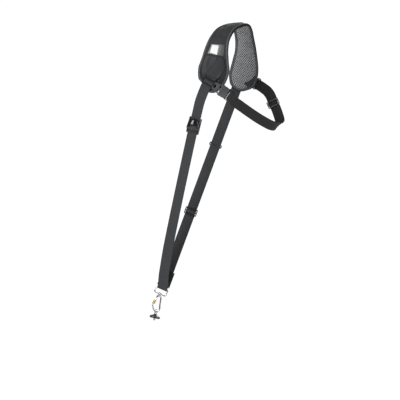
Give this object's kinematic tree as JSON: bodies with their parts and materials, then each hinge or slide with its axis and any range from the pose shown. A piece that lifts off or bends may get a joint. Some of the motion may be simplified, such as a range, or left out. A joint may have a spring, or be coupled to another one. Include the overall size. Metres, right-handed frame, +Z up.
{
  "type": "camera sling strap",
  "caption": "Padded shoulder sling strap with a long webbing loop, cam locks, swivel hook and screw-in camera fastener, and an underarm strap with a side-release buckle.",
  "frame": {"origin": "under the top of the shoulder pad, on the face of its lining, where a shoulder carries it", "axes": "+Z up, +X to the right seen from the front, +Y away from the viewer; the strap hangs down to the hook at the lower left, and the wearer's front is towards -Y"},
  "size_m": [0.338, 0.1585, 0.7464],
  "materials": {
    "nylon_shell": "matte",
    "stretch_panel": "satin",
    "webbing": "matte",
    "binding_tape": "matte",
    "spacer_mesh": "matte",
    "label_band": "satin",
    "label_patch": "satin",
    "black_plastic": "gloss",
    "buckle_plastic": "satin",
    "polished_steel": "polished",
    "pin_steel": "satin",
    "brass": "satin",
    "base_coating": "satin",
    "rubber": "matte"
  },
  "bodies": {
    "strap": {"pad_shell": "nylon_shell", "pad_lining": "spacer_mesh", "pad_binding": "binding_tape", "pad_flap": "stretch_panel", "label_band": "label_band", "label_patch": "label_patch", "main_webbing": "webbing", "rear_tab": "webbing", "adjuster_loop": "black_plastic", "strap_slider": "black_plastic", "cam_body_front": "black_plastic", "cam_pin_front": "pin_steel", "cam_body_rear": "black_plastic", "cam_pin_rear": "pin_steel", "strap_ring": "polished_steel", "buckle_frame": "buckle_plastic", "buckle_socket": "buckle_plastic", "underarm_webbing": "webbing", "underarm_slider": "black_plastic", "underarm_loop": "black_plastic", "underarm_tab": "webbing"},
    "front_lever": {"cam_lever_front": "black_plastic"},
    "rear_lever": {"cam_lever_rear": "black_plastic"},
    "hook": {"hook_body": "polished_steel", "gate_pin": "polished_steel", "fastener_eye": "polished_steel", "fastener_base": "base_coating", "fastener_washer": "rubber", "fastener_stud": "polished_steel"},
    "gate": {"hook_gate": "polished_steel"},
    "sleeve": {"lock_sleeve": "brass"}
  },
  "joints": [
    {"name": "front_lever_hinge", "type": "hinge", "parent": "strap", "child": "front_lever", "pos_m": [-0.11342, -0.05905, -0.25923], "axis": [0.9206, -0.2905, -0.2611], "range_deg": [0, 90]},
    {"name": "rear_lever_hinge", "type": "hinge", "parent": "strap", "child": "rear_lever", "pos_m": [-0.17725, 0.01266, -0.6257], "axis": [0.9372, 0.0077, -0.3487], "range_deg": [0, 90]},
    {"name": "hook_swivel", "type": "hinge", "parent": "strap", "child": "hook", "pos_m": [-0.19577, 0, -0.67425], "axis": [-0.2181, 0, -0.9759], "continuous": true},
    {"name": "gate_hinge", "type": "hinge", "parent": "hook", "child": "gate", "pos_m": [-0.20121, 0, -0.67713], "axis": [0, -1, 0], "range_deg": [0, 25], "stiffness_Nm_per_rad": 0.005, "springref_deg": -14.32},
    {"name": "sleeve_slide", "type": "slide", "parent": "gate", "child": "sleeve", "axis": [-0.4913, 0, -0.871], "range_m": [-0.003, 0.0015]}
  ]
}
